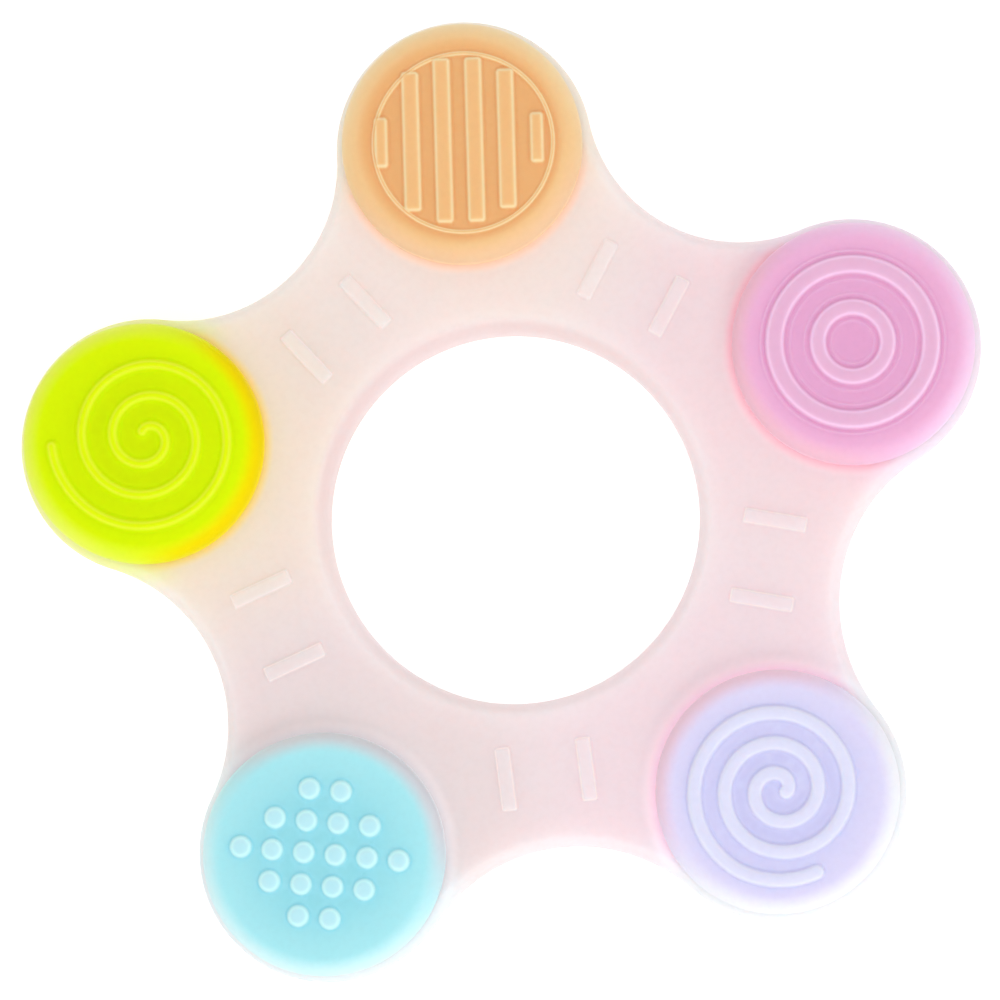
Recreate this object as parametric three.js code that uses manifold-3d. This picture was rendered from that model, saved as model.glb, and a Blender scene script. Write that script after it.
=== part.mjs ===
// A flat, five-lobed silicone teething ring. A translucent ring with a round hand hole holds one moulded
// disc in each lobe. Each disc is a spool: a textured face on both sides, and a waist that fills the
// lobe's eye. Units are millimetres and +Z is up. The origin is the centre of the hand hole, half way
// through the ring's thickness, and the orange disc's lobe points along +Y.
import * as THREE from 'three';
import { mergeVertices } from 'three/addons/utils/BufferGeometryUtils.js';
import Module from 'manifold-3d';

const wasm = await Module();
wasm.setup();

// The lobes, anticlockwise from +Y: each one's direction in degrees, and how far its centre is from the
// ring's axis. The soft ring doesn't lie quite evenly.
const LOBES = [
  { angle: 90, r: 38.7 },
  { angle: 161.1, r: 38.7 },
  { angle: 233.3, r: 39.5 },
  { angle: 306.2, r: 39 },
  { angle: 379, r: 39.05 },
];

// Ring
const LOBE_R = 13.3; // the lobe's round end
const WEB_MIN_R = 34.3; // from the ring's axis to the middle of the hollow edge between two lobes
const HOLE_R = 19.2; // the hand hole
const RING_THICK = 9;
const EDGE_ROUND_DEPTH = 3; // how far down the rounded edges reach
const EDGE_ROUND_INSET = 1.3; // how far they draw in

// Grip bars, two in each web on both faces
const GRIP = {
  length: 6.7,
  width: 1.75,
  height: 0.3,
  corner: 0.3,
  chamfer: 0.12,
  spacing: 8.3,
  centreR: 26.6,
};

// Discs
const DISC_R = 12.4; // where a disc's face stands on the ring
const FACE_R = 11; // the edge of its flat face
const FACE_Z = 8; // the flat face, above the middle of the ring
const WAIST_R = 8.7;
const FIT_GAP = 0.3; // between a disc and the ring, which are bonded on the real object
const RELIEF = 0.55; // how far the textures stand out of the face
const SINK = 0.4; // how deep a texture's own solid starts below the face

// How finely the round shapes are cut
const LOBE_STEPS = 22;
const WEB_STEPS = 10;
const HOLE_STEPS = 48;
const DISC_STEPS = 36;
const STUD_STEPS = 8;
const SPIRAL_STEPS_PER_TURN = 20;

const RING_TOP = RING_THICK / 2;
const TURN = 2 * Math.PI;
const rad = THREE.MathUtils.degToRad;
const degrees = THREE.MathUtils.radToDeg;

const point = (r, angle) => new THREE.Vector2(r * Math.cos(angle), r * Math.sin(angle));
const lobes = LOBES.map(({ angle, r }) => point(r, rad(angle)));

// Points along part of a circle, without the last one, so that arcs can follow each other.
function arc(centre, r, start, sweep, steps) {
  return Array.from({ length: steps }, (_, i) => point(r, start + (sweep * i) / steps).add(centre));
}

// The arc that runs from facing one point to facing another. A hand of 1 is anticlockwise, -1 clockwise.
function arcFacing(centre, r, from, to, hand, steps) {
  const start = from.clone().sub(centre).angle();
  const end = to.clone().sub(centre).angle();
  const sweep = hand * THREE.MathUtils.euclideanModulo(hand * (end - start), TURN);
  return arc(centre, r, start, sweep, steps);
}

// A closed geometry as a solid that can be joined and cut.
function solid(geometry) {
  geometry.deleteAttribute('normal');
  geometry.deleteAttribute('uv');
  const merged = mergeVertices(geometry, 1e-4);
  return new wasm.Manifold(
    new wasm.Mesh({
      numProp: 3,
      vertProperties: merged.attributes.position.array,
      triVerts: new Uint32Array(merged.index.array),
    }),
  );
}

const join = (bodies) => bodies.reduce((all, body) => all.add(body));

function namedMesh(name, body, color, roughness) {
  const { vertProperties, triVerts } = body.getMesh();
  const geometry = new THREE.BufferGeometry();
  geometry.setAttribute('position', new THREE.BufferAttribute(vertProperties, 3));
  geometry.setIndex(new THREE.BufferAttribute(triVerts, 1));
  geometry.computeVertexNormals();
  const material = new THREE.MeshStandardMaterial({ color, roughness, metalness: 0 });
  const mesh = new THREE.Mesh(geometry, material);
  mesh.name = name;
  return mesh;
}

// A solid of revolution about Z, from [radius, height] pairs listed from the bottom up.
function turned(profile, steps) {
  const points = profile.map(([r, z]) => new THREE.Vector2(r, z));
  return new THREE.LatheGeometry(points, steps).rotateX(Math.PI / 2);
}

// A flat pattern standing on a face at height z: its sides go straight up and its top edge is chamfered.
function raised(outline, z, height, chamfer) {
  const geometry = new THREE.ExtrudeGeometry(new THREE.Shape(outline), {
    depth: SINK + height - 2 * chamfer,
    bevelThickness: chamfer,
    bevelSize: chamfer,
    bevelOffset: -chamfer,
    bevelSegments: 1,
  });
  return geometry.translate(0, 0, z - SINK + chamfer);
}

// A pattern moved by an offset, and the same again on the other side, as it is seen when the ring is
// turned over about the Y axis.
function onBothSides(geometry, [x, y] = [0, 0]) {
  const upper = solid(geometry.translate(x, y, 0));
  return upper.add(upper.rotate([0, 180, 0]));
}

// A bar along Y with rounded corners, as an outline.
function barOutline(length, width, corner) {
  const x = width / 2 - corner;
  const y = length / 2 - corner;
  const corners = [[x, y], [-x, y], [-x, -y], [x, -y]];
  return corners.flatMap(([cx, cy], i) => {
    const from = (i * Math.PI) / 2;
    const centre = new THREE.Vector2(cx, cy);
    return [point(corner, from).add(centre), point(corner, from + Math.PI / 2).add(centre)];
  });
}

// The ring

// The hollow edge between two lobes is an arc that meets both of their round ends smoothly. Its centre
// is out from the middle between theirs, where it is further from the ring's axis than from them by
// WEB_MIN_R - LOBE_R. That gives a quadratic equation for how far out it is.
function webBetween(from, to) {
  const middle = from.clone().lerp(to, 0.5);
  const half = from.distanceTo(to) / 2;
  const outwards = to.clone().sub(from).rotateAround(new THREE.Vector2(), -Math.PI / 2).normalize();
  const further = WEB_MIN_R - LOBE_R;
  const a = middle.lengthSq() - half ** 2 - further ** 2;
  const b = 2 * middle.dot(outwards);
  const c = 4 * further ** 2;
  const out = (-a * b + Math.sqrt(c * (a ** 2 + half ** 2 * (b ** 2 - c)))) / (b ** 2 - c);
  const centre = middle.addScaledVector(outwards, out);
  return { centre, r: centre.length() - WEB_MIN_R, direction: centre.angle() };
}

// webs[i] lies between lobe i and the next one anticlockwise.
const nextLobe = (i) => lobes[(i + 1) % lobes.length];
const webs = lobes.map((lobe, i) => webBetween(lobe, nextLobe(i)));

function ringOutline() {
  return lobes.flatMap((lobe, i) => {
    const { centre, r } = webs[i];
    return [
      ...arcFacing(lobe, LOBE_R, webs.at(i - 1).centre, centre, 1, LOBE_STEPS),
      ...arcFacing(centre, r, lobe, nextLobe(i), -1, WEB_STEPS),
    ];
  });
}

function gripBars() {
  const { length, width, height, corner, chamfer, spacing, centreR } = GRIP;
  const bar = raised(barOutline(length, width, corner), RING_TOP, height, chamfer);
  const pair = [-0.5, 0.5].map((side) => onBothSides(bar.clone().translate(side * spacing, centreR, 0)));
  return webs.flatMap(({ direction }) => pair.map((body) => body.rotate([0, 0, degrees(direction) - 90])));
}

function ringBody() {
  const shape = new THREE.Shape(ringOutline());
  shape.holes.push(new THREE.Path(arc(new THREE.Vector2(), HOLE_R, 0, -TURN, HOLE_STEPS)));
  const blank = new THREE.ExtrudeGeometry(shape, {
    depth: RING_THICK - 2 * EDGE_ROUND_DEPTH,
    bevelThickness: EDGE_ROUND_DEPTH,
    bevelSize: EDGE_ROUND_INSET,
    bevelOffset: -EDGE_ROUND_INSET,
    bevelSegments: 2,
  });
  blank.translate(0, 0, EDGE_ROUND_DEPTH - RING_TOP);
  const eyeR = WAIST_R + FIT_GAP;
  const eyeProfile = [[0, -RING_THICK], [eyeR, -RING_THICK], [eyeR, RING_THICK], [0, RING_THICK]];
  const eye = solid(turned(eyeProfile, DISC_STEPS));
  const eyes = lobes.map(({ x, y }) => eye.translate([x, y, 0]));
  return join([solid(blank), ...gripBars()]).subtract(join(eyes));
}

// The discs. Each texture has an offset, because it isn't quite in the middle of its disc.

// The plain spool.
function discBlank() {
  const upper = [
    [WAIST_R, RING_TOP + FIT_GAP],
    [DISC_R, RING_TOP + FIT_GAP],
    [DISC_R - 0.2, FACE_Z - 1.7],
    [DISC_R - 0.7, FACE_Z - 0.5],
    [FACE_R, FACE_Z],
    [0, FACE_Z],
  ];
  const lower = upper.map(([r, z]) => [r, -z]).reverse();
  return solid(turned([...lower, ...upper], DISC_STEPS));
}

// A circle of the given middle radius that stands on both faces. foot and crest are half its width at
// its foot and at its top.
function raisedCircle(r, foot, crest, height, offset) {
  const profile = [
    [r - foot, -SINK],
    [r + foot, -SINK],
    [r + foot, 0],
    [r + crest, height],
    [r - crest, height],
    [r - foot, 0],
    [r - foot, -SINK],
  ];
  return onBothSides(turned(profile, DISC_STEPS).translate(0, 0, FACE_Z), offset);
}

// Four long bars and two short side bars, on a slightly sunken floor inside a thin raised bead.
function barDisc() {
  const beadR = 9.2;
  const beadHalf = 0.35;
  const beadOffset = [0.26, -0.22];
  const floorDepth = 0.2;
  const floorR = beadR - beadHalf;
  const floor = turned([[0, -floorDepth], [floorR, -floorDepth], [floorR, 1], [0, 1]], DISC_STEPS);
  const pitch = 3.25;
  const bars = [
    { x: -1.5 * pitch, length: 14.6, width: 1.9 },
    { x: -0.5 * pitch, length: 17.2, width: 1.9 },
    { x: 0.5 * pitch, length: 17.2, width: 1.9 },
    { x: 1.5 * pitch, length: 14.6, width: 1.9 },
    { x: -2.46 * pitch, length: 5.4, width: 1.5 },
    { x: 2.46 * pitch, length: 5.4, width: 1.5 },
  ];
  const relief = bars.map(({ x, length, width }) => {
    const bar = raised(barOutline(length, width, 0.4), FACE_Z, RELIEF, 0.15);
    return onBothSides(bar.translate(x, 0, 0).rotateZ(rad(-6)), [-0.14, 0.08]);
  });
  return discBlank()
    .subtract(onBothSides(floor.translate(0, 0, FACE_Z), beadOffset))
    .add(raisedCircle(beadR, beadHalf, 0.1, 0.2, beadOffset))
    .add(join(relief));
}

// Two raised circles.
function circleDisc() {
  const offset = [0, -0.13];
  const small = raisedCircle(3.54, 0.9, 0.6, RELIEF, offset);
  const large = raisedCircle(7.92, 1, 0.7, RELIEF, offset);
  return discBlank().add(small).add(large);
}

// Eighteen round studs on a square grid, in rows of two, four, six, four and two.
function dotDisc() {
  const pitch = 3.23;
  const studR = 1.15;
  const rows = [2, 4, 6, 4, 2];
  const profile = [[0, -SINK], [studR, -SINK], [studR, 0.25], [0.65 * studR, RELIEF], [0, RELIEF]];
  const studs = rows.flatMap((count, row) =>
    Array.from({ length: count }, (_, i) => {
      const stud = turned(profile, STUD_STEPS);
      stud.translate((i - (count - 1) / 2) * pitch, (row - (rows.length - 1) / 2) * pitch, FACE_Z);
      return onBothSides(stud.rotateZ(rad(24.1)), [0.25, 0]);
    }),
  );
  return join([discBlank(), ...studs]);
}

// A spiral band of even width with round ends, as an outline. It grows by one pitch each turn, until
// it reaches its largest radius. A hand of 1 winds outwards anticlockwise, and -1 clockwise.
function spiralOutline({ startR, maxR, pitch, turns, width, startAngle, hand }) {
  const steps = Math.round(turns * SPIRAL_STEPS_PER_TURN);
  const line = Array.from({ length: steps + 1 }, (_, i) => {
    const wound = (i / steps) * turns;
    return point(Math.min(startR + pitch * wound, maxR), startAngle + hand * wound * TURN);
  });
  const heading = line.map((_, i) => {
    const ahead = line[Math.min(i + 1, steps)].clone();
    return ahead.sub(line[Math.max(i - 1, 0)]).angle();
  });
  const side = (turn) => line.map((p, i) => point(width / 2, heading[i] + turn).add(p));
  const endCap = [-45, 0, 45].map((a) => point(width / 2, heading[steps] + rad(a)).add(line[steps]));
  const startCap = [135, 180, 225].map((a) => point(width / 2, heading[0] + rad(a)).add(line[0]));
  return [...side(-Math.PI / 2), ...endCap, ...side(Math.PI / 2).reverse(), ...startCap];
}

function spiralDisc(spiral) {
  const band = raised(spiralOutline(spiral), FACE_Z, RELIEF, spiral.chamfer);
  return discBlank().add(onBothSides(band, spiral.offset));
}

const LILAC_SPIRAL = {
  offset: [-0.22, -0.07],
  startR: 0.74,
  maxR: 9.08,
  pitch: 3.07,
  turns: 2.86,
  width: 1.5,
  chamfer: 0.12,
  startAngle: rad(121.3),
  hand: 1,
};

const LIME_SPIRAL = {
  offset: [0.58, -0.55],
  startR: 0.79,
  maxR: 9.8,
  pitch: 3.19,
  turns: 2.83,
  width: 1.35,
  chamfer: 0.3,
  startAngle: rad(45.3),
  hand: -1,
};

// The discs, in the order of the lobes.
const DISCS = [
  { name: 'orange_bar_disc', color: 0xf0b377, body: barDisc() },
  { name: 'lime_spiral_disc', color: 0xd7f004, body: spiralDisc(LIME_SPIRAL) },
  { name: 'aqua_dot_disc', color: 0x9de0e8, body: dotDisc() },
  { name: 'lilac_spiral_disc', color: 0xcfcdf3, body: spiralDisc(LILAC_SPIRAL) },
  { name: 'pink_circle_disc', color: 0xe9aed6, body: circleDisc() },
];

const teethingRing = new THREE.Group();
teethingRing.add(namedMesh('translucent_ring', ringBody(), 0xf4dfdd, 0.45));

DISCS.forEach(({ name, color, body }, i) => {
  const disc = namedMesh(name, body, color, 0.5);
  disc.position.set(lobes[i].x, lobes[i].y, 0);
  disc.rotation.z = lobes[i].angle() - Math.PI / 2;
  teethingRing.add(disc);
});

export default teethingRing;
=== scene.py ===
"""Looks for a five-lobed silicone teething ring with a textured disc moulded through each lobe.

Shapes are worked out in millimetres and turned into metres when a mesh is made. A disc's texture
is laid out with +Y pointing away from the ring's centre, and is then turned to face the way its
lobe does.
"""

import math

import bmesh
import bpy
import numpy as np
from mathutils import Matrix, Vector
from mathutils.geometry import delaunay_2d_cdt


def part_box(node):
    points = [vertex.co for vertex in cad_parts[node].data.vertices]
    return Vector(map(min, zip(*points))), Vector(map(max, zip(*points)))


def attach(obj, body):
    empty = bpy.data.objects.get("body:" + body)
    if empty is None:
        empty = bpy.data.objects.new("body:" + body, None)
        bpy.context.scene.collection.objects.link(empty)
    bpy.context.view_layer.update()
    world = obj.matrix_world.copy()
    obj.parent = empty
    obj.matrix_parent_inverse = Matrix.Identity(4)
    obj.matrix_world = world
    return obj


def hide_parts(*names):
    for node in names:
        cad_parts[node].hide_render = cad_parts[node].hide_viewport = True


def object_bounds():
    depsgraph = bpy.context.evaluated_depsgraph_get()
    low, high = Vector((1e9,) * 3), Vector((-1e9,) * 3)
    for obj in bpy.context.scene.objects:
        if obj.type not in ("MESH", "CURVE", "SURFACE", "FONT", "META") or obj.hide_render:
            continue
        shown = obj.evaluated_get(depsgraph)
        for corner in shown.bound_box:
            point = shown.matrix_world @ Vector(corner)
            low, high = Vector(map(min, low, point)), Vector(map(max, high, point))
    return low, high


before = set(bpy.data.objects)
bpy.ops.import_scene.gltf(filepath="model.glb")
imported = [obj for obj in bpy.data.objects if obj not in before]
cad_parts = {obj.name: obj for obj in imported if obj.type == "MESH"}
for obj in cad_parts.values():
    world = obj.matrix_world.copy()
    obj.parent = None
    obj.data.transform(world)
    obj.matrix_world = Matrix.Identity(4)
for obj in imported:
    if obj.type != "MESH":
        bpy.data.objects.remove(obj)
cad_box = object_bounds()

MM = 0.001
TURN = 2 * math.pi

# Ring, as in the CAD model
LOBE_R = 13.3
WEB_MIN_R = 34.3  # from the ring's axis to the middle of the hollow edge between two lobes
HOLE_R = 19.2
RING_TOP = 4.5
EDGE_DEPTH = 3.0  # the rounded edges reach this far down
EDGE_INSET = 1.3  # and draw in this far
EYE_R = 9.0
EYE_ROUND = 0.25  # the rounding of the eyes' edges
GRIP_BAR = {"length": 6.7, "width": 1.75, "corner": 0.35}
GRIP_SPACING = 8.3
GRIP_R = 26.6
GRIP_HEIGHT = 0.3

# Discs
WAIST_R = 8.7
DISC_R = 12.4
FACE_R = 10.55  # where the face starts to turn down into the shoulder
FACE_Z = 8.0
SHOULDER_Z = 5.6  # where the shoulder has become the disc's upright side
RELIEF = 0.55
SEAT_Z = RING_TOP + 0.05  # the flange lies almost on the ring

# How finely the meshes are cut
OUTLINE_STEP = 0.28  # between the points of a raised shape's outline
CORNER_POINTS = 6
MIN_CIRCLE_POINTS = 24
SPIRAL_POINTS = 96  # in a turn
CAP_POINTS = 11  # round the end of a spiral
LOBE_POINTS = 96
WEB_POINTS = 56
HOLE_POINTS = 240
EYE_POINTS = 72
EDGE_STEPS = 12
SHOULDER_STEPS = 14
DISC_SEGMENTS = 144
RING_FILL_STEP = 1.6  # between the points that fill the plain parts of a face
DISC_FILL_STEP = 0.9
GUARD = 0.12  # a loop of points this far outside a raised shape keeps its edge crisp
CHUNK = 2000  # how many points are measured at a time
WELD = 2e-7  # in metres

DISC_NODES = [
    "orange_bar_disc",
    "lime_spiral_disc",
    "aqua_dot_disc",
    "lilac_spiral_disc",
    "pink_circle_disc",
]


def centre_of(node):
    """The axis of a disc, in millimetres, from its CAD node."""
    low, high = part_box(node)
    return Vector(((low.x + high.x) / 2, (low.y + high.y) / 2)) / MM


# The discs are in the order of the lobes, anticlockwise from +Y.
DISC_CENTRES = {node: centre_of(node) for node in DISC_NODES}


# Outlines and distances in the plane, as arrays of [x, y]


def circle(radius, count, centre=(0, 0)):
    """Points round a whole circle."""
    angles = np.arange(count) * TURN / count
    return np.array(centre) + radius * np.column_stack([np.cos(angles), np.sin(angles)])


def arc(centre, radius, start, end, count):
    """Points along an arc, without the last one."""
    angles = start + (end - start) * np.arange(count) / count
    return np.array(centre) + radius * np.column_stack([np.cos(angles), np.sin(angles)])


def arc_facing(centre, radius, start, end, hand, count):
    """Points along the arc from facing one point to facing another. A hand of 1 is anticlockwise
    and -1 is clockwise."""
    first, last = (math.atan2(p.y - centre.y, p.x - centre.x) for p in (start, end))
    sweep = hand * (hand * (last - first) % TURN)
    return arc(centre, radius, first, first + sweep, count)


def rotated(points, angle):
    """Points turned anticlockwise about the origin."""
    c, s = math.cos(angle), math.sin(angle)
    return np.asarray(points) @ np.array([[c, s], [-s, c]])


def inside(points, loop):
    """Which points lie inside a closed loop, by counting the edges that a line from each one
    crosses."""
    count = np.zeros(len(points), int)
    x, y = points[:, 0], points[:, 1]
    for a, b in zip(loop, np.roll(loop, -1, axis=0)):
        if a[1] == b[1]:
            continue
        spans = (y >= min(a[1], b[1])) & (y < max(a[1], b[1]))
        at = a[0] + (y - a[1]) * (b[0] - a[0]) / (b[1] - a[1])
        count += spans & (x < at)
    return count % 2 == 1


class Round:
    """A filled circle, or with a width, a round band."""

    SMALLEST_R = 0.05

    def __init__(self, radius, width=None, centre=(0, 0)):
        self.radius, self.width, self.centre = radius, width, np.array(centre, float)

    def depth(self, points):
        """How far inside the outline each point is; negative outside."""
        r = np.linalg.norm(points - self.centre, axis=1)
        if self.width is None:
            return self.radius - r
        return self.width / 2 - abs(r - self.radius)

    def loops(self, inset):
        """The outlines drawn in by inset."""
        if self.width is None:
            radii = [self.radius - inset]
        else:
            half = self.width / 2 - inset
            radii = [self.radius - half, self.radius + half]
        counts = [round(TURN * r / OUTLINE_STEP / 8) * 8 for r in radii]
        return [
            circle(r, max(MIN_CIRCLE_POINTS, count), self.centre)
            for r, count in zip(radii, counts)
            if r > self.SMALLEST_R
        ]


class Bar:
    """A straight bar with rounded corners, along Y before it is turned."""

    SMALLEST_CORNER = 0.03

    def __init__(self, length, width, corner, centre=(0, 0), turn=0.0):
        self.half = np.array([width, length]) / 2
        self.corner, self.centre, self.turn = corner, np.array(centre, float), turn

    def depth(self, points):
        q = abs(rotated(points, -self.turn) - self.centre) - (self.half - self.corner)
        outside = np.linalg.norm(np.maximum(q, 0), axis=1)
        return self.corner - outside - np.minimum(q.max(1), 0)

    def loops(self, inset):
        corner = max(self.corner - inset, self.SMALLEST_CORNER)
        x, y = self.half - inset - corner
        corners = [(x, y), (-x, y), (-x, -y), (x, -y)]
        rounds = [
            arc(c, corner, i * TURN / 4, (i + 1) * TURN / 4, CORNER_POINTS)
            for i, c in enumerate(corners)
        ]
        points = np.concatenate(rounds)
        spaced = []
        for a, b in zip(points, np.roll(points, -1, axis=0)):
            n = max(1, round(np.linalg.norm(b - a) / OUTLINE_STEP))
            spaced.append(a + (b - a) * np.arange(n)[:, None] / n)
        return [rotated(np.concatenate(spaced) + self.centre, self.turn)]


class Spiral:
    """A spiral band of even width with round ends, growing by one pitch each turn up to max_r."""

    SMALLEST_HALF = 0.02

    def __init__(self, start_r, max_r, pitch, turns, width, start, hand, centre):
        t = np.linspace(0, turns, round(turns * SPIRAL_POINTS) + 1)
        r = np.minimum(start_r + pitch * t, max_r)
        a = start + hand * t * TURN
        self.line = np.array(centre) + np.column_stack([r * np.cos(a), r * np.sin(a)])
        ahead = np.gradient(self.line, axis=0)
        self.heading = np.arctan2(ahead[:, 1], ahead[:, 0])
        self.width = width

    def depth(self, points):
        a, b = self.line[:-1], self.line[1:]
        ab = b - a
        length2 = (ab**2).sum(1)
        out = np.empty(len(points))
        for i in range(0, len(points), CHUNK):
            p = points[i : i + CHUNK, None, :]
            t = np.clip(((p - a) * ab).sum(2) / length2, 0, 1)
            out[i : i + CHUNK] = np.linalg.norm(p - a - t[..., None] * ab, axis=2).min(1)
        return self.width / 2 - out

    def loops(self, inset):
        half = self.width / 2 - inset
        if half < self.SMALLEST_HALF:
            return []

        def moved(line, angle):
            return line + half * np.column_stack([np.cos(angle), np.sin(angle)])

        def cap(i, start):
            round_end = np.linspace(0, TURN / 2, CAP_POINTS)[1:-1]
            return moved(self.line[i], self.heading[i] + start + round_end)

        # Outside the band itself, every second point is enough.
        skip = slice(None, None, 2) if inset < 0 else slice(None)
        right = moved(self.line, self.heading - TURN / 4)[skip]
        left = moved(self.line, self.heading + TURN / 4)[skip]
        return [np.concatenate([right, cap(-1, -TURN / 4), left[::-1], cap(0, TURN / 4)])]


class Raised:
    """A shape that stands up from a face. profile lists pairs of an inset from its outline and the
    share of its height there."""

    FOOT_TONE = 0.25
    # The tone reaches outside a shape to place the painted light against the shade at its foot.
    TONE_REACH = 0.3  # how far outside the outline the tone starts

    def __init__(self, shape, height, profile):
        self.shape, self.height = shape, height
        self.insets, self.shares = np.array(profile, float).T

    def loops(self):
        return [loop for inset in (-GUARD, *self.insets) for loop in self.shape.loops(inset)]

    def share(self, points):
        """The share of the height that each point has."""
        return np.interp(self.shape.depth(points), self.insets, self.shares, left=0)

    def tone(self, points):
        """What the colours go by, and so where the painted shade and highlights fall: 0 on the
        plain face, FOOT_TONE at the shape's outline and 1 on its top."""
        depths = [-self.TONE_REACH, *self.insets]
        tones = [0, *(self.FOOT_TONE + (1 - self.FOOT_TONE) * self.shares)]
        return np.interp(self.shape.depth(points), depths, tones)


# Cross-sections of the raised shapes
SOFT_EDGE = [(0, 0), (0.1, 0.2), (0.2, 0.46), (0.3, 0.7), (0.42, 0.87), (0.58, 0.96), (0.78, 1)]
FLAT_BAND = [(0, 0), (0.09, 0.22), (0.18, 0.5), (0.28, 0.76), (0.4, 0.93), (0.55, 1)]
RIDGE = [(0, 0), (0.12, 0.1), (0.26, 0.32), (0.42, 0.62), (0.56, 0.85), (0.68, 0.96), (0.78, 1)]
FAINT = [(0, 0), (0.07, 0.12), (0.15, 0.25)]
STUD = [(0, 0), (0.1, 0.28), (0.2, 0.54), (0.33, 0.76), (0.5, 0.91), (0.68, 0.98), (0.88, 1)]
GRIP_EDGE = [(0, 0), (0.07, 0.2), (0.15, 0.5), (0.23, 0.8), (0.32, 0.96), (0.42, 1)]

TONE_LAYER = "relief"  # where a mesh keeps its points' tones


def face_mesh(edges, guides, raised, base, fill_step):
    """One textured face, as points [x, y, z], triangles, each point's tone, and the numbers of the
    points of edges, the loops that the walls join. The first edge is the face's outline and the
    others are holes in it. guides are more loops that its triangles follow, and base gives the
    plain face's height."""

    def keep(xy):
        kept = inside(xy, edges[0])
        for hole in edges[1:]:
            kept &= ~inside(xy, hole)
        return kept

    loops = [*edges, *guides, *(loop for item in raised for loop in item.loops())]
    points, links, first = [], [], 0
    for loop in loops:
        n = len(loop)
        points.append(loop)
        links += [(first + i, first + (i + 1) % n) for i in range(n)]
        first += n
    ends = np.concatenate(points)
    low, high = ends.min(0), ends.max(0)
    rows = np.arange(low[1], high[1], fill_step * math.sqrt(0.75))
    grid = np.array(
        [
            (x + (k % 2) * fill_step / 2, y)
            for k, y in enumerate(rows)
            for x in np.arange(low[0], high[0], fill_step)
        ]
    )
    grid = grid[keep(grid)]
    for item in raised:
        depth = item.shape.depth(grid)
        grid = grid[(depth < -Raised.TONE_REACH) | (depth > item.insets[-1] + GUARD)]
    for i in range(0, len(ends), CHUNK):
        gap = np.linalg.norm(grid[:, None] - ends[None, i : i + CHUNK], axis=2).min(1)
        grid = grid[gap > fill_step / 4]
    flat = np.concatenate([ends, grid])
    made, _, triangles, source, _, _ = delaunay_2d_cdt(
        [Vector(p) for p in flat], links, [], 0, 1e-5, True
    )
    xy = np.array([tuple(p) for p in made])
    middles = xy[np.array(triangles)].mean(1)
    triangles = np.array(triangles)[keep(middles)]
    tone = np.zeros(len(xy))
    rise = np.zeros(len(xy))
    for item in raised:
        tone = np.maximum(tone, item.tone(xy))
        rise = np.maximum(rise, item.share(xy) * item.height)
    place = {old: new for new, olds in enumerate(source) for old in olds}
    edge_places, first = [], 0
    for loop in edges:
        edge_places.append([place[first + i] for i in range(len(loop))])
        first += len(loop)
    return np.column_stack([xy, base(xy) + rise]), triangles.tolist(), tone, edge_places


def level(z):
    """The height of a flat face, for face_mesh."""
    return lambda points: np.full(len(points), z)


def wall(rows, top):
    """Points and faces of a wall that hangs from the points numbered top, one row of points below
    another. The rows' own points are numbered from start on."""
    points = np.concatenate(rows)

    def faces(start):
        n = len(top)
        above = list(top)
        out = []
        for k in range(len(rows)):
            below = list(range(start + k * n, start + (k + 1) * n))
            for i in range(n):
                j = (i + 1) % n
                out.append((above[i], above[j], below[j], below[i]))
            above = below
        return out

    return points, faces


def solid(name, face, walls, other_side, turn=0.0):
    """A closed mesh from its upper half, and the same half turned or mirrored onto the other side.
    The whole of it is then turned about Z."""
    points, triangles, tone, _ = face
    faces = list(triangles)
    for wall_points, wall_faces in walls:
        faces += wall_faces(len(points))
        points = np.concatenate([points, wall_points])
    tone = np.concatenate([tone, np.zeros(len(points) - len(tone))])
    count = len(points)
    both = np.concatenate([points, points * other_side]) * MM
    both[:, :2] = rotated(both[:, :2], turn)
    faces += [tuple(count + i for i in f) for f in faces]
    mesh = bpy.data.meshes.new(name)
    mesh.from_pydata(both.tolist(), [], [tuple(map(int, f)) for f in faces])
    layer = mesh.attributes.new(TONE_LAYER, "FLOAT", "POINT")
    layer.data.foreach_set("value", np.tile(tone, 2).astype(np.float32))
    bm = bmesh.new()
    bm.from_mesh(mesh)
    bmesh.ops.remove_doubles(bm, verts=bm.verts, dist=WELD)
    loose = [v for v in bm.verts if not v.link_faces]
    bmesh.ops.delete(bm, geom=loose, context="VERTS")
    bmesh.ops.recalc_face_normals(bm, faces=bm.faces)
    bm.to_mesh(mesh)
    bm.free()
    mesh.shade_smooth()
    obj = bpy.data.objects.new(name, mesh)
    bpy.context.scene.collection.objects.link(obj)
    return obj


# The ring


def web_between(start, end):
    """The hollow arc that meets two lobes' round ends smoothly, as its centre and radius. Its
    centre is out from the middle between theirs, where it is further from the ring's axis than
    from them by WEB_MIN_R - LOBE_R."""
    middle = (start + end) / 2
    half = (end - start).length / 2
    outwards = Vector((end.y - start.y, start.x - end.x)).normalized()
    further = WEB_MIN_R - LOBE_R
    a = middle.length_squared - half**2 - further**2
    b = 2 * middle.dot(outwards)
    c = 4 * further**2
    out = (math.sqrt(c * (a**2 + half**2 * (b**2 - c))) - a * b) / (b**2 - c)
    centre = middle + out * outwards
    return centre, centre.length - WEB_MIN_R


LOBES = list(DISC_CENTRES.values())
NEXT_LOBES = LOBES[1:] + LOBES[:1]
WEBS = [web_between(lobe, after) for lobe, after in zip(LOBES, NEXT_LOBES)]


def ring_outline(inset):
    """The ring's outline drawn in by inset."""
    parts = []
    for i, (lobe, after) in enumerate(zip(LOBES, NEXT_LOBES)):
        centre, radius = WEBS[i]
        before = WEBS[i - 1][0]
        parts.append(arc_facing(lobe, LOBE_R - inset, before, centre, 1, LOBE_POINTS))
        parts.append(arc_facing(centre, radius + inset, lobe, after, -1, WEB_POINTS))
    return np.concatenate(parts)


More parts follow.
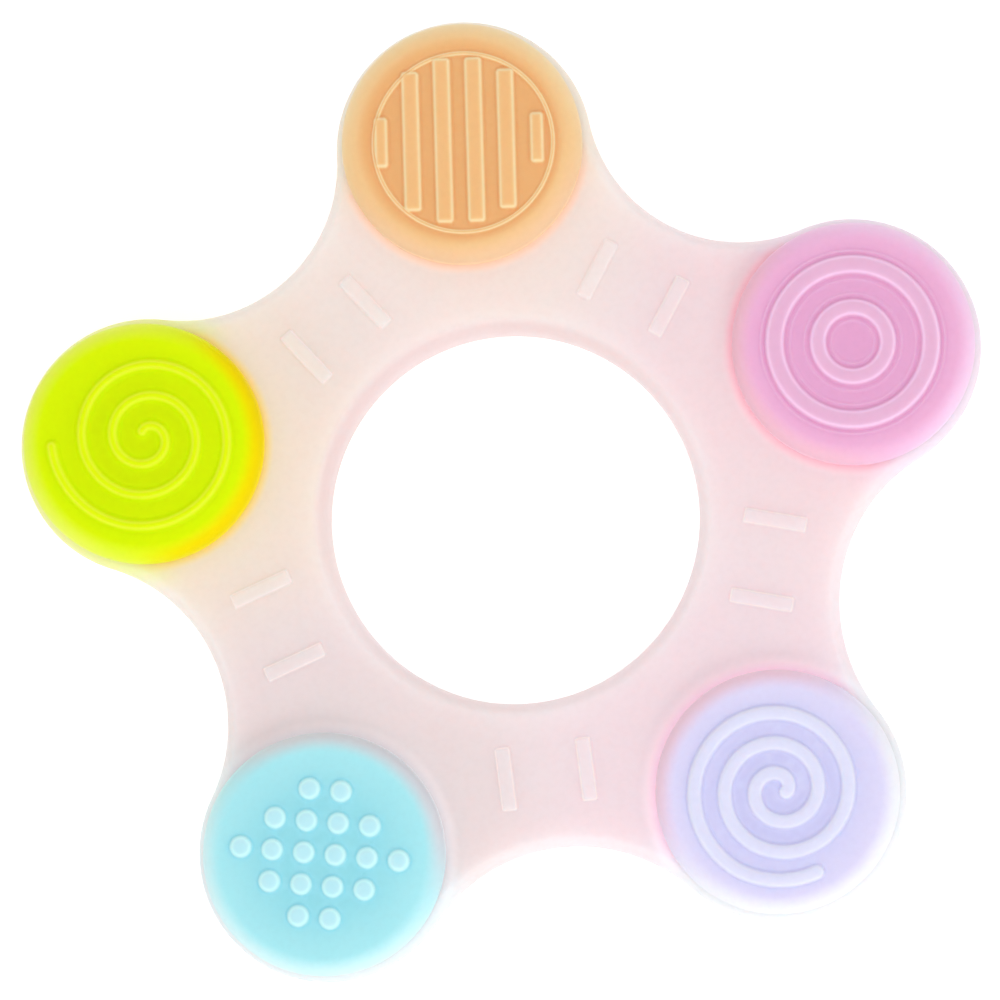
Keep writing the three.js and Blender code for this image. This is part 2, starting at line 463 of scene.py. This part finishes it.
def edge_rows(shape_at):
    """Rows of points down a rounded edge, from just under the face to half way through the ring.
    shape_at gives the edge's loop at an inset."""
    rows = []
    for k in range(1, EDGE_STEPS + 1):
        a = k / EDGE_STEPS * TURN / 4
        loop = shape_at(EDGE_INSET * (1 - math.sin(a)))
        z = RING_TOP - EDGE_DEPTH * (1 - math.cos(a))
        rows.append(np.column_stack([loop, np.full(len(loop), z)]))
    loop = shape_at(0)
    for z in ((RING_TOP - EDGE_DEPTH) / 2, 0):
        rows.append(np.column_stack([loop, np.full(len(loop), z)]))
    return rows


def build_ring():
    """The ring, with an eye through each lobe and two grip bars beside each hollow edge."""

    def hole_at(inset):
        return circle(HOLE_R + inset, HOLE_POINTS)

    edges = [ring_outline(EDGE_INSET), hole_at(EDGE_INSET)]
    edges += [circle(EYE_R + EYE_ROUND, EYE_POINTS, c) for c in LOBES]
    margin = EDGE_INSET + 0.35
    guides = [ring_outline(margin)[::2], circle(HOLE_R + margin, 160)]
    grips = []
    for centre, _ in WEBS:
        turn = math.atan2(centre.y, centre.x) - TURN / 4
        for side in (-0.5, 0.5):
            bar = Bar(**GRIP_BAR, centre=(side * GRIP_SPACING, GRIP_R), turn=turn)
            grips.append(Raised(bar, GRIP_HEIGHT, GRIP_EDGE))
    face = face_mesh(edges, guides, grips, level(RING_TOP), RING_FILL_STEP)
    outer, hole, *eyes = face[3]
    walls = [wall(edge_rows(ring_outline), outer), wall(edge_rows(hole_at), hole)]
    for c, eye in zip(LOBES, eyes):
        rows = []
        for drop, out in ((0.07, 0.07), (EYE_ROUND, 0), (RING_TOP, 0)):
            loop = circle(EYE_R + out, EYE_POINTS, c)
            rows.append(np.column_stack([loop, np.full(len(loop), RING_TOP - drop)]))
        walls.append(wall(rows, eye))
    return solid("ring_body", face, walls, (1, 1, -1))


# The discs


def shoulder_rows():
    """Rows of points from the edge of a disc's face, over its shoulder and down to half way."""
    profile = []
    for k in range(1, SHOULDER_STEPS + 1):
        a = k / SHOULDER_STEPS * TURN / 4
        # Powers near 1 make the quarter ellipse a little fuller.
        r = FACE_R + (DISC_R - FACE_R) * math.sin(a) ** 1.05
        z = SHOULDER_Z + (FACE_Z - SHOULDER_Z) * max(math.cos(a), 0) ** 0.82
        profile.append((r, z))
    # The upright side, its rounded lower edge, the seat on the ring and the waist
    profile += [(DISC_R, 5.1), (DISC_R, SEAT_Z + 0.12), (DISC_R - 0.04, SEAT_Z + 0.03)]
    profile += [(DISC_R - 0.12, SEAT_Z), (10.6, SEAT_Z), (WAIST_R + 0.25, SEAT_Z)]
    profile += [(WAIST_R + 0.07, SEAT_Z - 0.07), (WAIST_R, SEAT_Z - 0.25), (WAIST_R, 0)]
    loops = []
    for r, z in profile:
        loop = circle(r, DISC_SEGMENTS)
        loops.append(np.column_stack([loop, np.full(len(loop), z)]))
    return loops


def facing(node):
    """The direction from the ring's axis to a disc's."""
    return math.atan2(DISC_CENTRES[node].y, DISC_CENTRES[node].x)


def build_disc(node, raised, base=level(FACE_Z), guides=()):
    """A spool with the same texture on both faces. The lower face is the upper one turned over
    about the disc's outward axis."""
    edge = circle(FACE_R, DISC_SEGMENTS)
    inner = circle(FACE_R - 0.2, DISC_SEGMENTS)
    face = face_mesh([edge], [inner, *guides], raised, base, DISC_FILL_STEP)
    walls = [wall(shoulder_rows(), face[3][0])]
    return solid(node + "_body", face, walls, (-1, 1, -1), facing(node) - TURN / 4)


def bar_disc(node):
    """Four long bars and two short ones on a slightly sunken floor, inside a thin raised bead."""
    pitch = 3.25
    turn = math.radians(-6)
    move = rotated([(-0.14, 0.08)], -turn)[0]
    # Each bar's place in pitches from the middle, its length and its width
    bars = [(-1.5, 14.8, 2.2), (-0.5, 17.4, 2.2), (0.5, 17.4, 2.2), (1.5, 14.8, 2.2)]
    bars += [(-2.46, 5.6, 1.8), (2.46, 5.6, 1.8)]
    corner = 0.6
    raised = [
        Raised(Bar(length, width, corner, move + (x * pitch, 0), turn), RELIEF, SOFT_EDGE)
        for x, length, width in bars
    ]
    bead_r = 9.2
    bead_at = (0.26, -0.22)
    bead = [(0, 0), (0.1, 0.3), (0.2, 0.7), (0.28, 0.95), (0.35, 1)]
    raised.append(Raised(Round(bead_r, 0.7, bead_at), 0.22, bead))

    def base(points):
        """The floor inside the bead is sunk a little, with a shallow groove outside it."""
        out = np.linalg.norm(points - bead_at, axis=1) - bead_r
        sunk = np.interp(out, [-0.4, 0, 0.35, 0.9], [0.2, 0.1, 0.12, 0])
        return FACE_Z - sunk

    guides = [circle(bead_r + out, DISC_SEGMENTS, bead_at) for out in (0.62, 0.9)]
    return build_disc(node, raised, base, guides)


def circle_disc(node):
    """Two raised circles, with faint concentric lines in the valleys round them."""
    at = (0, -0.13)
    raised = [
        Raised(Round(3.54, 2.0, at), RELIEF, SOFT_EDGE),
        Raised(Round(7.92, 2.2, at), RELIEF, SOFT_EDGE),
    ]
    raised += [Raised(Round(r, 0.4, at), 0.24, FAINT) for r in (2.2, 4.95, 6.4, 9.35)]
    return build_disc(node, raised)


def dot_disc(node):
    """Eighteen studs on a square grid, in rows of two, four, six, four and two."""
    pitch = 3.23
    turn = math.radians(24.1)
    offset = (0.25, 0)
    rows = [2, 4, 6, 4, 2]
    raised = []
    for row, count in enumerate(rows):
        for i in range(count):
            at = ((i - (count - 1) / 2) * pitch, (row - (len(rows) - 1) / 2) * pitch)
            centre = rotated([at], turn)[0] + offset
            raised.append(Raised(Round(1.25, centre=centre), RELIEF, STUD))
    return build_disc(node, raised)


def lilac_disc(node):
    """A flat-topped spiral band, winding outwards anticlockwise."""
    band = Spiral(
        start_r=0.74,
        max_r=9.08,
        pitch=3.07,
        turns=2.86,
        width=1.7,
        start=math.radians(121.3),
        hand=1,
        centre=(-0.22, -0.07),
    )
    return build_disc(node, [Raised(band, RELIEF, FLAT_BAND)])


def lime_disc(node):
    """A rounded spiral ridge, winding outwards clockwise."""
    ridge = Spiral(
        start_r=0.79,
        max_r=9.8,
        pitch=3.19,
        turns=2.83,
        width=1.6,
        start=math.radians(45.3),
        hand=-1,
        centre=(0.58, -0.55),
    )
    return build_disc(node, [Raised(ridge, RELIEF, RIDGE)])


# Materials


def srgb(r, g, b):
    """A colour given as display values from 0 to 255, as the linear colour that a shader takes."""
    parts = [c / 255 for c in (r, g, b)]
    linear = [c / 12.92 if c <= 0.04045 else ((c + 0.055) / 1.055) ** 2.4 for c in parts]
    return (*linear, 1)


ROUGHNESS = (0.37, 0.49)
GLOSS = 0.04
SCATTER_BY_COLOUR = (1.0, 0.75, 0.7)


class Shader:
    """Builds one material's node tree."""

    def __init__(self, name):
        self.material = bpy.data.materials.new(name)
        self.material.use_nodes = True
        self.tree = self.material.node_tree
        self.surface = self.tree.nodes["Principled BSDF"]

    def add(self, kind, inputs=None, output=0, **settings):
        """A node with its settings and inputs, where an input is a value or another node's
        output."""
        node = self.tree.nodes.new("ShaderNode" + kind)
        for key, value in settings.items():
            setattr(node, key, value)
        for key, value in (inputs or {}).items():
            self.put(node.inputs[key], value)
        return node.outputs[output]

    def put(self, socket, value):
        """Sets a socket to a value, or links another node's output to it."""
        if isinstance(value, bpy.types.NodeSocket):
            self.tree.links.new(value, socket)
        else:
            socket.default_value = value

    def math(self, operation, a, b=0.0):
        return self.add("Math", {0: a, 1: b}, operation=operation)

    def ramp(self, value, low, high, to_low=0.0, to_high=1.0):
        """A smooth step of value between low and high."""
        inputs = {"Value": value, "From Min": low, "From Max": high}
        inputs.update({"To Min": to_low, "To Max": to_high})
        return self.add("MapRange", inputs, interpolation_type="SMOOTHSTEP")

    def band(self, value, low, middle, high):
        """Rises from 0 at low to 1 at middle, and falls back to 0 at high."""
        rise = self.ramp(value, low, middle)
        fall = self.ramp(value, middle, high, 1.0, 0.0)
        return self.math("MULTIPLY", rise, fall)

    def polar(self, place, angle):
        """Distance from the Z axis, and the cosine of the direction from it, measured from
        angle."""
        flat = self.add("VectorMath", {0: place, 1: (1, 1, 0)}, operation="MULTIPLY")
        radius = self.add("VectorMath", {0: flat}, 1, operation="LENGTH")
        along = (math.cos(angle), math.sin(angle), 0)
        dot = self.add("VectorMath", {0: flat, 1: along}, 1, operation="DOT_PRODUCT")
        return radius, self.math("DIVIDE", dot, radius)

    def mix(self, factor, a, b, blend="MIX"):
        inputs = {0: factor, 6: a, 7: b}
        return self.add("Mix", inputs, 2, data_type="RGBA", blend_type=blend)

    def noise(self, coordinates, scale, detail):
        inputs = {"Vector": coordinates, "Scale": scale, "Detail": detail}
        return self.add("TexNoise", inputs)

    def tone(self):
        """The mesh's own layer that says how far up a raised shape each point is."""
        return self.add("Attribute", output=2, attribute_name=TONE_LAYER)

    def glow(self, colour, where, strength):
        """Painted light: an emission that stands in for light come through the silicone, and makes
        up for the shadow in a corner.
        """
        self.put(self.surface.inputs["Emission Color"], colour)
        self.put(self.surface.inputs["Emission Strength"], self.math("MULTIPLY", where, strength))

    def finish(self, colour, coordinates, scatter, depth):
        """Satin silicone: soft scattering under the surface, a fine bump and uneven gloss. scatter
        is its share, and depth is how far the light gets in millimetres."""
        cloudy = self.ramp(self.noise(coordinates, 90, 3), 0.3, 0.7, 0.0, 0.05)
        colour = self.mix(cloudy, colour, (1, 1, 1, 1), "SOFT_LIGHT")
        speckle = self.ramp(self.noise(coordinates, 1500, 2), 0.35, 0.75, 0.0, 0.035)
        colour = self.mix(speckle, colour, (0.5, 0.45, 0.45, 1), "MULTIPLY")
        self.put(self.surface.inputs["Base Color"], colour)
        uneven = self.ramp(self.noise(coordinates, 320, 4), 0.25, 0.75, *ROUGHNESS)
        self.put(self.surface.inputs["Roughness"], uneven)
        grain = {"Height": self.noise(coordinates, 2600, 3), "Strength": 0.06}
        grain["Distance"] = 0.1 * MM
        self.put(self.surface.inputs["Normal"], self.add("Bump", grain))
        self.surface.inputs["Subsurface Weight"].default_value = scatter
        self.surface.inputs["Subsurface Radius"].default_value = SCATTER_BY_COLOUR
        self.surface.inputs["Subsurface Scale"].default_value = depth * MM
        self.surface.inputs["Specular IOR Level"].default_value = GLOSS
        return self.material


# Each disc's colours, with light and shade painted into them: the floor between its raised shapes,
# darker as painted shade, the floor close to them, lifted as painted light against the shade at
# their feet, their tops, painted lighter, and their edges, painted highlights, the disc's shoulder,
# painted lighter, and its side away from the ring's centre, painted lighter, and towards it, where
# it takes painted light from the ring.
DISC_COLOURS = {
    "orange_bar_disc": {
        "floor": srgb(240, 186, 127),
        "foot": srgb(240, 188, 130),
        "top": srgb(244, 195, 138),
        "edge": srgb(253, 222, 174),
        "shoulder": srgb(243, 202, 147),
        "outer": srgb(247, 216, 168),
        "inner": srgb(244, 204, 162),
    },
    "lime_spiral_disc": {
        "floor": srgb(215, 237, 0),
        "foot": srgb(220, 244, 0),
        "top": srgb(222, 250, 6),
        "edge": srgb(232, 252, 54),
        "shoulder": srgb(222, 247, 0),
        "outer": srgb(232, 251, 88),
        "inner": srgb(246, 222, 0),
    },
    "aqua_dot_disc": {
        "floor": srgb(156, 223, 233),
        "foot": srgb(166, 230, 241),
        "top": srgb(189, 234, 244),
        "edge": srgb(203, 250, 255),
        "shoulder": srgb(174, 233, 240),
        "outer": srgb(206, 242, 246),
        "inner": srgb(214, 220, 226),
    },
    "lilac_spiral_disc": {
        "floor": srgb(210, 208, 243),
        "foot": srgb(219, 219, 250),
        "top": srgb(222, 223, 250),
        "edge": srgb(228, 229, 253),
        "shoulder": srgb(223, 219, 249),
        "outer": srgb(238, 239, 247),
        "inner": srgb(240, 211, 227),
    },
    "pink_circle_disc": {
        "floor": srgb(234, 174, 213),
        "foot": srgb(235, 177, 215),
        "top": srgb(234, 187, 217),
        "edge": srgb(253, 208, 239),
        "shoulder": srgb(239, 184, 219),
        "outer": srgb(246, 204, 234),
        "inner": srgb(244, 195, 212),
    },
}

# The painted glow, an emission that makes up for the shadow in the corner between each disc and the
# ring, on the side of the ring's centre: its strength, and how far from the disc's axis it reaches
FOOT_GLOW = {
    "orange_bar_disc": (0.19, 13.7),
    "lime_spiral_disc": (0.17, 13.6),
    "aqua_dot_disc": (0.28, 14.0),
    "lilac_spiral_disc": (0.27, 14.3),
    "pink_circle_disc": (0.19, 13.8),
}
DISC_SLOTS = {node: node.split("_")[0] + "_silicone" for node in DISC_NODES}

# A face's colour turns into its shoulder's lighter, painted-light colour from this radius on, and
# the orange disc's from its bead on.
SHOULDER_FROM_R = 4
BEADED_SHOULDER_FROM_R = 9.6
SHOULDER_TO_R = 10.9


def disc_material(node):
    colours = DISC_COLOURS[node]
    shader = Shader(DISC_SLOTS[node] + "_look")
    coordinates = shader.add("TexCoord", output=3)
    radius, outward = shader.polar(coordinates, facing(node))
    from_r = BEADED_SHOULDER_FROM_R if node == "orange_bar_disc" else SHOULDER_FROM_R
    # Painted light: the face turns lighter towards its shoulder.
    spread = shader.ramp(radius, from_r * MM, SHOULDER_TO_R * MM)
    colour = shader.mix(spread, colours["floor"], colours["shoulder"])
    # Painted light and shade by the tone: the floor by a raised shape is lifted against the shade
    # at its foot, tops are painted lighter and edges get painted highlights.
    tone = shader.tone()
    colour = shader.mix(shader.band(tone, 0.0, 0.28, 0.6), colour, colours["foot"])
    colour = shader.mix(shader.ramp(tone, 0.3, 0.8), colour, colours["top"])
    colour = shader.mix(shader.band(tone, 0.4, 0.86, 1.0), colour, colours["edge"])
    # Painted light on the disc's side: lighter away from the ring's centre, and towards it, a
    # painted tint of light from the ring.
    side = shader.ramp(radius, 10.3 * MM, 12.1 * MM)
    away = shader.math("MULTIPLY", side, shader.ramp(outward, -0.6, 0.6))
    colour = shader.mix(away, colour, colours["outer"])
    towards = shader.math("MULTIPLY", side, shader.ramp(outward, 0.0, -0.72))
    colour = shader.mix(towards, colour, colours["inner"])
    height = shader.math("ABSOLUTE", shader.add("SeparateXYZ", {0: coordinates}, 2))
    # Painted light: a glow low on the side towards the ring's centre, against the shadow where the
    # disc meets the ring.
    low = shader.math("MULTIPLY", towards, shader.ramp(height, 6.6 * MM, 4.8 * MM))
    shader.glow(colour, low, FOOT_GLOW[node][0])
    return shader.finish(colour, coordinates, scatter=0.7, depth=2.0)


RING_COLOUR = srgb(241, 230, 232)
# Painted highlights along the grip bars' edges
GRIP_HIGHLIGHT = srgb(250, 235, 233)

# What each disc does to the translucent ring round it, all painted light and shade: its broad tint,
# the disc's light painted as spreading through the ring, the colour of the thin rim of lobe outside
# the disc, a painted tint of its light, and the colour along the disc's edge on the side of the
# ring's centre, painted light and shade in that corner.
RING_PAINTED_TINTS = {
    "orange_bar_disc": (srgb(244, 232, 227), srgb(250, 228, 208), srgb(246, 217, 197)),
    "lime_spiral_disc": (srgb(242, 229, 218), srgb(247, 249, 150), srgb(244, 219, 140)),
    "aqua_dot_disc": (srgb(235, 222, 222), srgb(228, 240, 244), srgb(220, 211, 213)),
    "lilac_spiral_disc": (srgb(240, 223, 228), srgb(239, 240, 246), srgb(238, 211, 223)),
    "pink_circle_disc": (srgb(243, 224, 227), srgb(245, 220, 236), srgb(244, 200, 209)),
}

# The lip of the hand hole is painted darker, as shade, on the side that faces this way from the
# middle.
LIP_SHADE_COLOUR = srgb(228, 205, 204)
LIP_SHADE_ANGLE = math.radians(110)


def ring_material():
    shader = Shader("clear_silicone_look")
    coordinates = shader.add("TexCoord", output=3)
    flat = shader.add("VectorMath", {0: coordinates, 1: (1, 1, 0)}, operation="MULTIPLY")
    from_axis, along = shader.polar(flat, LIP_SHADE_ANGLE)
    colour = RING_COLOUR
    spots = []
    glow = 0.0
    for node, tints in RING_PAINTED_TINTS.items():
        centre = (*(DISC_CENTRES[node] * MM), 0)
        place = shader.add("VectorMath", {0: flat, 1: centre}, operation="SUBTRACT")
        gap, outward = shader.polar(place, facing(node))
        # Painted light: the disc's colour spreads over the ring round it.
        colour = shader.mix(shader.ramp(gap, 32 * MM, 14 * MM, 0.0, 0.95), colour, tints[0])
        spots.append((gap, outward, tints[1:], FOOT_GLOW[node]))
    # Painted shade on the lip of the hand hole.
    lip_shade = shader.ramp(from_axis, 20.9 * MM, 19.7 * MM, 0.0, 0.75)
    lip_shade = shader.math("MULTIPLY", lip_shade, shader.ramp(along, -0.2, 0.8))
    colour = shader.mix(lip_shade, colour, LIP_SHADE_COLOUR)
    for gap, outward, (rim, edge), (strength, reach) in spots:
        # Painted light round each disc: the thin rim of lobe outside it takes the disc's colour,
        # and along its edge on the side of the ring's centre the colour paints the disc's light and
        # the shade in that corner.
        near = shader.ramp(gap, 16 * MM, 13.2 * MM, 0.0, 0.95)
        away = shader.math("MULTIPLY", near, shader.ramp(outward, -0.55, 0.1))
        colour = shader.mix(away, colour, rim)
        inward = shader.ramp(outward, 0.1, -0.4)
        close = shader.ramp(gap, 13.5 * MM, 12.3 * MM)
        colour = shader.mix(shader.math("MULTIPLY", close, inward), colour, edge)
        # Painted light: a glow in each disc's corner on the side of the ring's centre, against the
        # shadow there.
        corner = shader.ramp(gap, reach * MM, 12.2 * MM, 0.0, strength)
        glow = shader.math("ADD", glow, shader.math("MULTIPLY", corner, inward))
    # Painted highlights on the grip bars' edges.
    colour = shader.mix(shader.band(shader.tone(), 0.3, 0.75, 1.0), colour, GRIP_HIGHLIGHT)
    shader.glow(colour, glow, 1.0)
    return shader.finish(colour, coordinates, scatter=1.0, depth=4.0)


# The object


ring = build_ring()
ring.data.materials.append(ring_material())
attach(ring, "root")
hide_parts("translucent_ring")

BUILDERS = {
    "orange_bar_disc": bar_disc,
    "lime_spiral_disc": lime_disc,
    "aqua_dot_disc": dot_disc,
    "lilac_spiral_disc": lilac_disc,
    "pink_circle_disc": circle_disc,
}
for node, build in BUILDERS.items():
    disc = build(node)
    centre = DISC_CENTRES[node] * MM
    disc.location = (centre.x, centre.y, 0)
    disc.data.materials.append(disc_material(node))
    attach(disc, "root")
    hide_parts(node)


# The stage


FLOOR_HALF = 3
FLOOR_GREY = 0.62
FLOOR_GLOW = 0.62


def make_floor():
    """A large pale floor that the discs' lower faces lie on. From below, it can be seen through."""
    mesh = bpy.data.meshes.new("floor")
    bm = bmesh.new()
    bmesh.ops.create_grid(bm, x_segments=8, y_segments=8, size=FLOOR_HALF)
    bm.to_mesh(mesh)
    bm.free()
    floor = bpy.data.objects.new("floor", mesh)
    floor.location = (0, 0, cad_box[0].z)
    bpy.context.scene.collection.objects.link(floor)
    shader = Shader("floor_look")
    surface = shader.surface
    surface.inputs["Base Color"].default_value = (FLOOR_GREY, FLOOR_GREY, FLOOR_GREY, 1)
    surface.inputs["Roughness"].default_value = 0.9
    surface.inputs["Specular IOR Level"].default_value = 0
    surface.inputs["Emission Color"].default_value = (1, 1, 1, 1)
    surface.inputs["Emission Strength"].default_value = FLOOR_GLOW
    below = shader.add("NewGeometry", output=6)
    clear = shader.add("BsdfTransparent")
    both = shader.add("MixShader", {0: below, 1: surface.outputs[0], 2: clear})
    output = shader.tree.nodes["Material Output"]
    shader.tree.links.new(both, output.inputs["Surface"])
    floor.data.materials.append(shader.material)


def make_lights():
    """A bright, even surround, with two large soft lamps above."""
    world = bpy.data.worlds.new("studio")
    world.use_nodes = True
    background = world.node_tree.nodes["Background"]
    background.inputs["Color"].default_value = (1, 1, 1, 1)
    background.inputs["Strength"].default_value = 0.7
    bpy.context.scene.world = world
    for name, place, size, power in (
        ("key", (0.09, -0.26, 0.36), 0.35, 0.7),
        ("top", (-0.1, 0.15, 0.5), 0.4, 0.24),
    ):
        data = bpy.data.lights.new(name, "AREA")
        data.shape = "DISK"
        data.size = size
        data.energy = power
        light = bpy.data.objects.new(name, data)
        light.location = place
        light.rotation_euler = (-light.location).to_track_quat("-Z", "Y").to_euler()
        bpy.context.scene.collection.objects.link(light)


CAMERA_AT = Vector((0.0172, -0.0246, 0.4))  # a few degrees off the ring's axis
VIEW_WIDTH = 0.1038  # how much the picture takes in at the middle of the ring
PICTURE_TURN = math.radians(7.65)  # the object is turned this far anticlockwise in the picture
HOLE_AT = (0.0146, -0.0189)  # the hole's centre in the picture, from its middle, in picture widths


def make_camera():
    """The picture's own view: from almost straight above, and from far off."""
    data = bpy.data.cameras.new("camera")
    data.sensor_width = 36
    data.lens = data.sensor_width * CAMERA_AT.length / VIEW_WIDTH
    data.shift_x, data.shift_y = (-part for part in HOLE_AT)
    camera = bpy.data.objects.new("camera", data)
    camera.location = CAMERA_AT
    backwards = CAMERA_AT.normalized()
    up = Vector((math.sin(PICTURE_TURN), math.cos(PICTURE_TURN), 0))
    right = up.cross(backwards).normalized()
    axes = Matrix((right, backwards.cross(right), backwards)).transposed()
    camera.rotation_euler = axes.to_euler()
    bpy.context.scene.collection.objects.link(camera)
    bpy.context.scene.camera = camera
    bpy.context.scene.view_settings.view_transform = "Standard"


make_floor()
make_lights()
make_camera()
